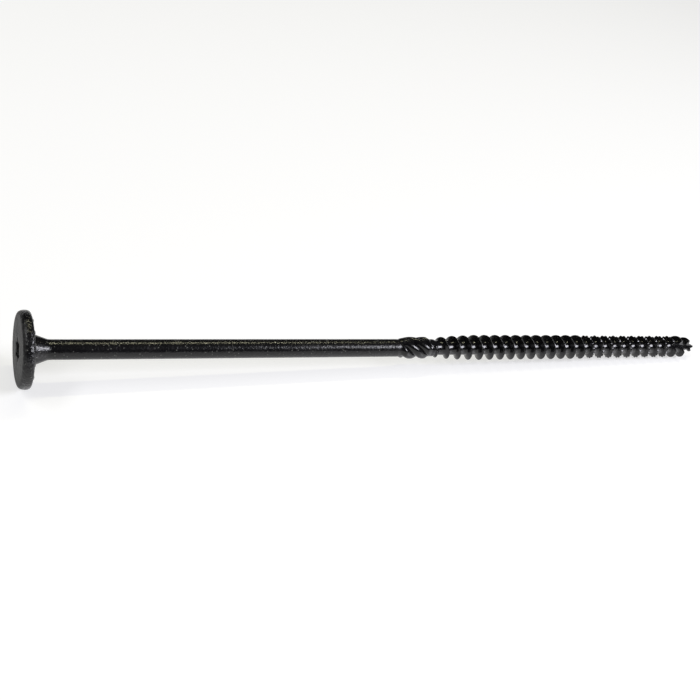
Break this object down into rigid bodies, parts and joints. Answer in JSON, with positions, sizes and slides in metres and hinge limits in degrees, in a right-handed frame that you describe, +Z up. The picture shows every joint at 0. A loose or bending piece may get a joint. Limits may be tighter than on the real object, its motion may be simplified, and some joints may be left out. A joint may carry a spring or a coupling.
{
  "type": "construction screw",
  "caption": "Long black flange-head wood screw with a star drive, plain shank, shank cutter, coarse serrated thread and a fluted point.",
  "frame": {"origin": "centre of the overall box, on the surface that the screw lies on", "axes": "+X towards the tip, +Z up; the screw's own axis lies in the XZ plane, 1.7 degrees down towards the tip, because it rests on the head's rim and on the thread near the point"},
  "size_m": [0.2434, 0.0216, 0.0216],
  "materials": {
    "coated_steel": "gloss"
  },
  "bodies": {
    "root": {"construction_screw": "coated_steel"}
  },
  "joints": []
}
